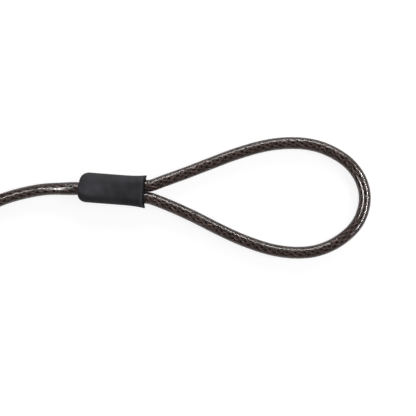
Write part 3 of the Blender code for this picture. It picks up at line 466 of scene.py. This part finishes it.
# Clouds of a lighter and a darker tone, and a fine grain
cloud_group, given, out = new_group(
    "clouds_and_grain", {"Cloud size": 0.006, "Grain size": 0.0004}, ("Cloud", "Grain")
)
where = put(cloud_group, "TexCoord").outputs["Object"]
for size, label, detail in (("Cloud size", "Cloud", 4.0), ("Grain size", "Grain", 2.0)):
    fineness = put(cloud_group, "Math", {0: 1.0, 1: given[size]}, operation="DIVIDE").outputs[0]
    spots = put(cloud_group, "TexNoise", {"Vector": where, "Scale": fineness, "Detail": detail})
    spread = put(cloud_group, "MapRange", {"Value": spots.outputs[0], "From Min": 0.3, "From Max": 0.7})
    cloud_group.links.new(spread.outputs[0], out.inputs[label])

# Rubbed places and short scratches from handling
marks_group, given, out = new_group(
    "handling_marks", {"Patch size": 0.01, "Scratch size": 0.0012}, ("Rubbed", "Scratches")
)
where = put(marks_group, "TexCoord").outputs["Object"]
fineness = put(marks_group, "Math", {0: 1.0, 1: given["Patch size"]}, operation="DIVIDE").outputs[0]
patches = put(marks_group, "TexNoise", {"Vector": where, "Scale": fineness, "Detail": 6.0, "Roughness": 0.65})
spread = put(marks_group, "MapRange", {"Value": patches.outputs[0], "From Min": 0.52, "From Max": 0.68})
marks_group.links.new(spread.outputs[0], out.inputs["Rubbed"])
turned_where = put(
    marks_group, "Mapping", {"Vector": where, "Rotation": (0.4, 0.7, 0.9), "Scale": (1.0, 14.0, 14.0)}
)
fineness = put(marks_group, "Math", {0: 0.1, 1: given["Scratch size"]}, operation="DIVIDE").outputs[0]
lines = put(marks_group, "TexNoise", {"Vector": turned_where.outputs[0], "Scale": fineness, "Detail": 1.0})
spread = put(marks_group, "MapRange", {"Value": lines.outputs[0], "From Min": 0.66, "From Max": 0.72})
marks_group.links.new(spread.outputs[0], out.inputs["Scratches"])


def tone(tree, shader, mask, dark, light):
    """Feeds the colour: dark where the mask is 0, light where it is 1."""
    mix = tree.nodes.new("ShaderNodeMix")
    mix.data_type = "RGBA"
    mix.inputs["A"].default_value = (*dark, 1.0)
    mix.inputs["B"].default_value = (*light, 1.0)
    tree.links.new(mask, mix.inputs["Factor"])
    tree.links.new(mix.outputs["Result"], shader.inputs["Base Color"])


def vary(tree, shader, label, mask, low, high):
    """Feeds one of the shader's plain values from a mask."""
    spread = put(tree, "MapRange", {"Value": mask, "To Min": low, "To Max": high})
    tree.links.new(spread.outputs[0], shader.inputs[label])


def relief(tree, shader, mask, depth, strength=1.0):
    """Feeds the shader's normal from a height, in metres."""
    bump = put(tree, "Bump", {"Height": mask, "Distance": depth, "Strength": strength})
    tree.links.new(bump.outputs[0], shader.inputs["Normal"])


wire_steel, tree, shader = new_finish("bundle_wire_steel", metallic=1.0)
clouds = place_group(tree, cloud_group, cloud_size=0.004, grain_size=0.0003)
# Painted light from the bundles' hand, with each bundle's own tone, mottled by clouds
bundle_light_and_tone = put(tree, "Attribute", attribute_name="painted_light_and_tone").outputs["Fac"]
mottled = put(tree, "Math", {0: bundle_light_and_tone, 1: clouds["Cloud"]}, operation="MULTIPLY").outputs[0]
tone(tree, shader, mottled, (0.40, 0.38, 0.37), (0.90, 0.87, 0.84))
vary(tree, shader, "Roughness", clouds["Grain"], 0.38, 0.50)
across_bundle = put(tree, "Attribute", attribute_name="across").outputs["Fac"]
wires = put(tree, "Math", {0: across_bundle, 1: 0.5 / WIRES_ACROSS}, operation="PINGPONG").outputs[0]
relief(tree, shader, wires, 0.0006, 0.25)

# The core's steel is painted near-black: painted shade seen through the gaps between the bundles
shade_dark_core_steel, tree, shader = new_finish("core_wire_steel_painted_shade", roughness=0.6, metallic=0.5)
clouds = place_group(tree, cloud_group, cloud_size=0.002, grain_size=0.0003)
tone(tree, shader, clouds["Cloud"], (0.045, 0.042, 0.041), (0.10, 0.094, 0.091))
relief(tree, shader, clouds["Grain"], 0.0001)

smoke_jacket, tree, shader = new_finish("smoke_jacket", (1, 1, 1))
shader.inputs["Transmission Weight"].default_value = 1.0
shader.inputs["IOR"].default_value = 1.47
marks = place_group(tree, marks_group, patch_size=0.012, scratch_size=0.0012)
vary(tree, shader, "Roughness", marks["Rubbed"], 0.19, 0.24)
clouds = place_group(tree, cloud_group, cloud_size=0.004, grain_size=0.0008)
relief(tree, shader, clouds["Cloud"], 0.000001)
smoke = put(tree, "VolumeAbsorption", {"Color": (0.55, 0.44, 0.41, 1), "Density": 1010})
tree.links.new(smoke.outputs[0], tree.nodes["Material Output"].inputs["Volume"])

for part, route, replaced, step, corners, swelling in (
    ("eye", eye_route, ("cable_eye",), 0.0009, 8, 0.0),
    ("run", run_route, ("cable_tail", "cable_coil", "cable_lead"), 0.0012, 6, 0.0005),
):
    plait = braid(f"{part}_braid", route, step, corners)
    plait.data.materials.append(shade_dark_core_steel)
    plait.data.materials.append(wire_steel)
    skin, line, length = jacket(f"{part}_jacket", route, JACKET_STEP, JACKET_SIDES, swelling)
    skin.data.materials.append(smoke_jacket)
    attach(plait, "lock")
    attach(skin, "lock")
    jacket_lamps_light.objects.link(skin)
    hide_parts(*replaced)

# ---------------------------------------------------------------------------------------------------
# Crimp. An aluminium ferrule pressed over two bare strands: one runs on into the tail, the other is
# the end of the loop. The sleeve hides all of it.
# ---------------------------------------------------------------------------------------------------


def dress(finish, *names):
    """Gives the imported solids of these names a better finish; their shapes stay."""
    for name in names:
        nodes[name].data.materials.clear()
        nodes[name].data.materials.append(finish)


pressed_aluminium, tree, shader = new_finish("pressed_aluminium", metallic=1.0)
clouds = place_group(tree, cloud_group, cloud_size=0.005, grain_size=0.0003)
marks = place_group(tree, marks_group, patch_size=0.004, scratch_size=0.0008)
tone(tree, shader, clouds["Cloud"], (0.62, 0.62, 0.63), (0.80, 0.80, 0.80))
vary(tree, shader, "Roughness", marks["Rubbed"], 0.45, 0.28)
relief(tree, shader, marks["Scratches"], 0.00005)
dress(pressed_aluminium, "crimp_ferrule")

bare_strands, tree, shader = new_finish("bare_strands", metallic=1.0)
where = put(tree, "TexCoord").outputs["Object"]
laid = put(tree, "Mapping", {"Vector": where, "Rotation": (0.0, 0.0, 0.6)}).outputs[0]
lay_lines = put(tree, "TexWave", {"Vector": laid, "Scale": 320.0}).outputs["Fac"]
# Darker along the lay's grooves than on the wires' crowns: painted shade between the wires
tone(tree, shader, lay_lines, (0.16, 0.15, 0.15), (0.58, 0.57, 0.56))
vary(tree, shader, "Roughness", lay_lines, 0.5, 0.32)
relief(tree, shader, lay_lines, 0.0003)
dress(bare_strands, "core_lead", "core_return", "anchored_core")

# ---------------------------------------------------------------------------------------------------
# Sleeve. A moulded rubber cover slid over the crimp, rounded where the tail leaves it and flared at
# its open end, where the eye's two legs come out side by side.
# ---------------------------------------------------------------------------------------------------

SLEEVE_WALL = 0.0020
SLEEVE_CLEAR = 0.0003
SLEEVE_FLARE = 0.0013
FLARE_FROM = 0.55
FLARE_DEPTH = 0.0100
THROAT_DEPTH = 0.0040
SLEEVE_SHOULDER_LEN = 0.0075
SLEEVE_NECK_LEN = 0.0042
SLEEVE_TAPER_END = 0.0117
SHOULDER_RINGS = 13
SIDE_RINGS = 24
RIM_RINGS = 5
RIM_ROUNDING = 0.0004
LIP_SHARE = 0.6
MOUTH_REACH = 0.0010
MOUTH_CUT = 0.0030
MOUTH_SQUARENESS = 10
CUT_FADE = 0.24
SHOULDER_SHEAR = 0.0010
SHEAR_FROM = 0.4
SLEEVE_LEAN = 0.015
# Where the pale bloom and its painted highlight lie on the sleeve's top
BLOOM_SHEEN_X = -0.0140
BLOOM_SHEEN_REACH = (0.0200, 0.0095, 0.0200)
FLAT_POINTS = 10
SLEEVE_INNER_W = LEG_OFFSET + CABLE_R + SLEEVE_CLEAR
SLEEVE_INNER_H = CABLE_R + SLEEVE_CLEAR


def flat_oval(x, half_width, half_height, count=72):
    """A ring across the sleeve: two half circles with flat sides above and below."""
    straight = max(half_width - half_height, 0.0)
    radius = min(half_width, half_height)
    half = count // 2
    ring = []
    for side in (1, -1):
        for k in range(half):
            a = math.pi * (k / (half - 1) - 0.5)
            y = straight + radius * math.cos(a)
            ring.append(Vector((x, side * y, side * half_height * math.sin(a))))
        for k in range(1, FLAT_POINTS):
            ring.append(Vector((x, side * straight * (1 - 2 * k / FLAT_POINTS), side * half_height)))
    return ring


outer_w = SLEEVE_INNER_W + SLEEVE_WALL
outer_h = SLEEVE_INNER_H + SLEEVE_WALL
half_len = SLEEVE_LEN / 2
mouth = half_len + MOUTH_REACH
neck_r = CABLE_R + SLEEVE_CLEAR
lip = neck_r + LIP_SHARE * SLEEVE_WALL
sleeve_rings = []
for k in range(SHOULDER_RINGS):
    share = 1 - math.cos(math.pi / 2 * k / (SHOULDER_RINGS - 1))
    bulge = math.sqrt(1 - (1 - share) ** 2)
    x = -half_len + share * SLEEVE_SHOULDER_LEN
    height = lip + (outer_h - lip) * bulge
    sleeve_rings.append(flat_oval(x, lip + (outer_w - lip) * bulge, height))
for k in range(1, SIDE_RINGS + 1):
    share = k / SIDE_RINGS
    x = -half_len + SLEEVE_SHOULDER_LEN + share * (half_len + mouth - SLEEVE_SHOULDER_LEN - RIM_ROUNDING)
    flare = SLEEVE_FLARE * max(0.0, (share - FLARE_FROM) / (1 - FLARE_FROM)) ** 3
    sleeve_rings.append(flat_oval(x, outer_w + flare, outer_h + flare / 2))
for k in range(1, RIM_RINGS + 1):
    a = math.pi * k / (RIM_RINGS + 1)
    r = SLEEVE_WALL / 2
    x = mouth - RIM_ROUNDING * (1 - math.sin(a))
    rim_w = outer_w + SLEEVE_FLARE - r + r * math.cos(a)
    rim_h = outer_h + SLEEVE_FLARE / 2 - r + r * math.cos(a)
    sleeve_rings.append(flat_oval(x, rim_w, rim_h))
throat_w = SLEEVE_INNER_W + SLEEVE_FLARE / 3
sleeve_rings.append(flat_oval(mouth - THROAT_DEPTH, throat_w, SLEEVE_INNER_H + SLEEVE_FLARE / 6))
sleeve_rings.append(flat_oval(half_len - FLARE_DEPTH, SLEEVE_INNER_W, SLEEVE_INNER_H))
sleeve_rings.append(flat_oval(-half_len + SLEEVE_TAPER_END, SLEEVE_INNER_W, SLEEVE_INNER_H))
for x in (-half_len + SLEEVE_NECK_LEN, -half_len):
    sleeve_rings.append([p + Vector((0, NECK_SHIFT, 0)) for p in flat_oval(x, neck_r, neck_r)])
sleeve_points, sleeve_faces, rim_wear_sheen_shade = [], [], []
n = len(sleeve_rings[0])
crease = SHOULDER_RINGS + SIDE_RINGS
for i, ring in enumerate(sleeve_rings):
    half_width = max(p.y for p in ring)
    # Worn pale with a painted highlight at the crease (1), painted shade inside it (-1), plain rubber
    # elsewhere (0)
    past = i - crease
    crease_wear_sheen_shade = {0: 1.0, 1: 0.3}.get(past, -1.0 if past > 1 else 0.0)
    reach = min(max(1 - CUT_FADE * (past - 1), 0.0), 1.0)
    for p in ring:
        # The outer edge lies back over and under the legs and runs out at the mouth's two sides
        square = 1 - (abs(p.y) / half_width) ** MOUTH_SQUARENESS
        cut = reach * MOUTH_CUT * square * eased((p.x / half_len - FLARE_FROM) / (1 - FLARE_FROM))
        skew = SHOULDER_SHEAR * p.y / outer_w * eased((-p.x / half_len - SHEAR_FROM) / (1 - SHEAR_FROM))
        # The rubber has turned a little on the crimp; its bore stays round the cables
        lean = -SLEEVE_LEAN * p.x * reach
        sleeve_points.append(sleeve_frame @ (p + Vector((skew - cut, lean, 0))))
        rim_wear_sheen_shade.append(crease_wear_sheen_shade)
for i in range(len(sleeve_rings)):
    for j in range(n):
        a, b = i * n, (i + 1) % len(sleeve_rings) * n
        k = (j + 1) % n
        sleeve_faces.append((a + j, a + k, b + k, b + j))
sleeve = solid_from("rubber_sleeve", sleeve_points, sleeve_faces)
bm = bmesh.new()
bm.from_mesh(sleeve.data)
bmesh.ops.recalc_face_normals(bm, faces=bm.faces)
bm.to_mesh(sleeve.data)
bm.free()
sleeve.data.attributes.new("rim_wear_sheen_shade", "FLOAT", "POINT").data.foreach_set("value", rim_wear_sheen_shade)
sleeve_rubber, tree, shader = new_finish("sleeve_rubber")
shader.inputs["Specular IOR Level"].default_value = 0.2
clouds = place_group(tree, cloud_group, cloud_size=0.009, grain_size=0.0005)
marks = place_group(tree, marks_group, patch_size=0.012, scratch_size=0.0016)
# A pale bloom lies on the shoulder end, partly a painted highlight on its top, and the mouth's edge is worn
# lighter and carries a painted highlight; inside the edge is painted shade
where = put(tree, "TexCoord").outputs["Object"]
bloom_sheen_centre = sleeve_frame @ Vector((BLOOM_SHEEN_X, 0.0, outer_h))
shifted = put(tree, "VectorMath", {0: where, 1: tuple(-bloom_sheen_centre)}).outputs[0]
squeezed = put(tree, "Mapping", {"Vector": shifted, "Scale": [1 / reach for reach in BLOOM_SHEEN_REACH]}).outputs[0]
ball = put(tree, "TexGradient", {"Vector": squeezed}, gradient_type="SPHERICAL").outputs["Fac"]
spotted = put(tree, "Math", {0: clouds["Cloud"], 1: 0.55}, operation="MULTIPLY").outputs[0]
# Pale bloom on the rubber and a painted highlight on its top, mottled by the clouds
bloom_and_sheen = put(tree, "Math", {0: ball, 1: 0.75, 2: spotted}, operation="MULTIPLY_ADD").outputs[0]
worn_sheen_shade = put(tree, "Attribute", attribute_name="rim_wear_sheen_shade").outputs["Fac"]
pale_wear_and_sheen = put(tree, "Math", {0: bloom_and_sheen, 1: worn_sheen_shade}, operation="MAXIMUM").outputs[0]
lifted = put(tree, "MapRange", {"Value": pale_wear_and_sheen, "To Min": 0.38}).outputs[0]
# Painted shade: the mouth's inside, past the crease, is darkened
painted_shade_inside = {"Value": worn_sheen_shade, "From Min": -1.0, "From Max": 0.0, "To Min": 0.05}
inside_shade_factor = put(tree, "MapRange", painted_shade_inside).outputs[0]
shade = put(tree, "Math", {0: lifted, 1: inside_shade_factor}, operation="MULTIPLY").outputs[0]
tone(tree, shader, shade, (0.0040, 0.0040, 0.0045), (0.0790, 0.0780, 0.0890))
vary(tree, shader, "Roughness", marks["Rubbed"], 0.72, 0.55)
relief(tree, shader, clouds["Grain"], 0.00006)
sleeve.data.materials.append(sleeve_rubber)
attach(sleeve, "lock")
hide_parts("eye_sleeve")

# ---------------------------------------------------------------------------------------------------
# Cable's fixing in the head. The bare end is crimped in a steel plug, which a grub screw holds in the
# casting's boss; a moulded rubber boot with flex grooves takes the bend.
# ---------------------------------------------------------------------------------------------------

BOSS_AT = (BOSS_FACE, BOSS_Y, HEAD_AXIS_Z)
BOOT_BASE_R = 0.0088
BOOT_TIP_R = 0.0064
BOOT_CLEAR = 0.0003
BOOT_EDGE = 0.0005
BOOT_FLANGE_LEN = BOOT_LEN / 8
BOOT_RIBS = 4
RIB_STEPS = 12
RIB_SINK = 0.35
GROOVE_AT = 0.15
GROOVE_REACH = 0.27
BOOT_SIDES = 64

turned_steel, tree, shader = new_finish("turned_steel", metallic=1.0)
clouds = place_group(tree, cloud_group, cloud_size=0.003, grain_size=0.0002)
marks = place_group(tree, marks_group, patch_size=0.004, scratch_size=0.0006)
tone(tree, shader, clouds["Cloud"], (0.48, 0.48, 0.49), (0.60, 0.60, 0.60))
vary(tree, shader, "Roughness", marks["Rubbed"], 0.36, 0.22)
relief(tree, shader, marks["Scratches"], 0.00003)
dress(turned_steel, "cable_anchor", "anchor_screw")


def boot_outline():
    """Distance along the boot and radius, from the inner edge at the boss round to the tip."""
    inner = CABLE_R + BOOT_CLEAR
    groove = RIB_SINK * (BOOT_TIP_R - CABLE_R)
    body_len = BOOT_LEN - BOOT_FLANGE_LEN
    run = body_len / (BOOT_RIBS + 0.5)
    body_r = BOOT_BASE_R - 2 * groove
    flange_end = 0.8 * BOOT_FLANGE_LEN
    line = [(0.0, inner), (0.0, BOOT_BASE_R - BOOT_EDGE), (BOOT_EDGE, BOOT_BASE_R)]
    line += [(flange_end - BOOT_EDGE, BOOT_BASE_R), (flange_end, BOOT_BASE_R - BOOT_EDGE)]
    for rib in range(BOOT_RIBS):
        for step in range(RIB_STEPS):
            share = step / RIB_STEPS
            along = (rib + share) * run
            taper = body_r + (BOOT_TIP_R - body_r) * along / body_len
            sunk = eased(1 - abs(share - GROOVE_AT) / GROOVE_REACH)
            line.append((BOOT_FLANGE_LEN + along, taper - 1.5 * groove * sunk))
    line += [(BOOT_LEN - groove, BOOT_TIP_R), (BOOT_LEN, BOOT_TIP_R - groove), (BOOT_LEN, inner)]
    return line


boot_points, boot_faces = [], []
outline = boot_outline()
for x, radius in outline:
    for k in range(BOOT_SIDES):
        a = 2 * math.pi * k / BOOT_SIDES
        boot_points.append(Vector(BOSS_AT) + Vector((x, radius * math.cos(a), radius * math.sin(a))))
for i in range(len(outline)):
    for k in range(BOOT_SIDES):
        a, b = i * BOOT_SIDES, (i + 1) % len(outline) * BOOT_SIDES
        nxt = (k + 1) % BOOT_SIDES
        boot_faces.append((a + k, b + k, b + nxt, a + nxt))
boot = solid_from("rubber_boot", boot_points, boot_faces)
boot_rubber, tree, shader = new_finish("boot_rubber")
shader.inputs["Specular IOR Level"].default_value = 0.25
clouds = place_group(tree, cloud_group, cloud_size=0.005, grain_size=0.0004)
marks = place_group(tree, marks_group, patch_size=0.006, scratch_size=0.0010)
tone(tree, shader, clouds["Cloud"], (0.010, 0.010, 0.011), (0.020, 0.020, 0.022))
vary(tree, shader, "Roughness", marks["Rubbed"], 0.70, 0.50)
relief(tree, shader, clouds["Grain"], 0.00006)
boot.data.materials.append(boot_rubber)
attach(boot, "lock")
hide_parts("strain_relief")

# ---------------------------------------------------------------------------------------------------
# Casting. The barrel, the hooked side jaw and the cable's boss are one zinc pressure casting, shot
# blasted, with a faint orange-peel skin and brighter spots where it is handled.
# ---------------------------------------------------------------------------------------------------

cast_zinc, tree, shader = new_finish("cast_zinc", metallic=1.0)
clouds = place_group(tree, cloud_group, cloud_size=0.006, grain_size=0.0005)
marks = place_group(tree, marks_group, patch_size=0.008, scratch_size=0.0010)
tone(tree, shader, clouds["Cloud"], (0.42, 0.42, 0.43), (0.56, 0.56, 0.57))
vary(tree, shader, "Roughness", marks["Rubbed"], 0.50, 0.32)
relief(tree, shader, clouds["Grain"], 0.00008)
dress(cast_zinc, "lock_body")

# ---------------------------------------------------------------------------------------------------
# Disc plug. Brass drum and discs, turned and blanked, with hardened steel spacers, guard disc and side
# bar between them; the drive sleeve behind the drum is turned steel.
# ---------------------------------------------------------------------------------------------------

DISC_COUNT = 6

turned_brass, tree, shader = new_finish("turned_brass", metallic=1.0)
clouds = place_group(tree, cloud_group, cloud_size=0.003, grain_size=0.0002)
marks = place_group(tree, marks_group, patch_size=0.004, scratch_size=0.0006)
tone(tree, shader, clouds["Cloud"], (0.56, 0.38, 0.15), (0.74, 0.53, 0.24))
vary(tree, shader, "Roughness", marks["Rubbed"], 0.34, 0.20)
relief(tree, shader, marks["Scratches"], 0.00003)
dress(turned_brass, "drum", "bolt_bush", *(f"disc_{k + 1}" for k in range(DISC_COUNT)))
dress(turned_steel, "guard_disc", "side_bar", "drive_sleeve")
dress(turned_steel, *(f"spacer_{k + 1}" for k in range(DISC_COUNT - 1)))

# ---------------------------------------------------------------------------------------------------
# Cross bolt and detent. Hardened, ground steel: the bolt that closes the jaw, its drive pin, and the
# ball, spring and plug that hold the drum at rest.
# ---------------------------------------------------------------------------------------------------

ground_steel, tree, shader = new_finish("ground_steel", metallic=1.0)
clouds = place_group(tree, cloud_group, cloud_size=0.006, grain_size=0.0002)
marks = place_group(tree, marks_group, patch_size=0.005, scratch_size=0.0008)
tone(tree, shader, clouds["Cloud"], (0.58, 0.58, 0.58), (0.68, 0.68, 0.67))
vary(tree, shader, "Roughness", marks["Rubbed"], 0.24, 0.14)
relief(tree, shader, marks["Scratches"], 0.00002)
dress(ground_steel, "bolt", "drive_pin", "detent_ball", "detent_spring")
dress(turned_steel, "detent_screw")

# ---------------------------------------------------------------------------------------------------
# Covers. Two half shells of black glass-filled plastic with a spark-eroded grain, held on the casting
# by four steel screws in deep seats; a nickel-plated ring closes the barrel behind the key.
# ---------------------------------------------------------------------------------------------------

COVER_SCREWS = 4

cover_plastic, tree, shader = new_finish("cover_plastic")
clouds = place_group(tree, cloud_group, cloud_size=0.010, grain_size=0.00035)
marks = place_group(tree, marks_group, patch_size=0.012, scratch_size=0.0016)
tone(tree, shader, clouds["Cloud"], (0.016, 0.016, 0.017), (0.024, 0.024, 0.025))
vary(tree, shader, "Roughness", marks["Rubbed"], 0.50, 0.34)
relief(tree, shader, clouds["Grain"], 0.00006)
dress(cover_plastic, "cover_lower", "cover_upper")
dress(turned_steel, *(f"cover_screw_{k + 1}" for k in range(COVER_SCREWS)))

nickel_plate, tree, shader = new_finish("nickel_plate", metallic=1.0)
clouds = place_group(tree, cloud_group, cloud_size=0.006, grain_size=0.0002)
marks = place_group(tree, marks_group, patch_size=0.007, scratch_size=0.0010)
tone(tree, shader, clouds["Cloud"], (0.62, 0.59, 0.54), (0.72, 0.69, 0.64))
vary(tree, shader, "Roughness", marks["Rubbed"], 0.16, 0.30)
relief(tree, shader, marks["Scratches"], 0.00003)
dress(nickel_plate, "key_collar", "key_blade")

# ---------------------------------------------------------------------------------------------------
# Key. A nickel-plated half-round blade moulded into a black plastic bow, which thumbs have polished.
# ---------------------------------------------------------------------------------------------------

bow_plastic, tree, shader = new_finish("bow_plastic")
clouds = place_group(tree, cloud_group, cloud_size=0.008, grain_size=0.0003)
marks = place_group(tree, marks_group, patch_size=0.010, scratch_size=0.0014)
tone(tree, shader, clouds["Cloud"], (0.013, 0.013, 0.014), (0.020, 0.020, 0.021))
vary(tree, shader, "Roughness", marks["Rubbed"], 0.42, 0.22)
relief(tree, shader, clouds["Grain"], 0.00004)
dress(bow_plastic, "key_bow")
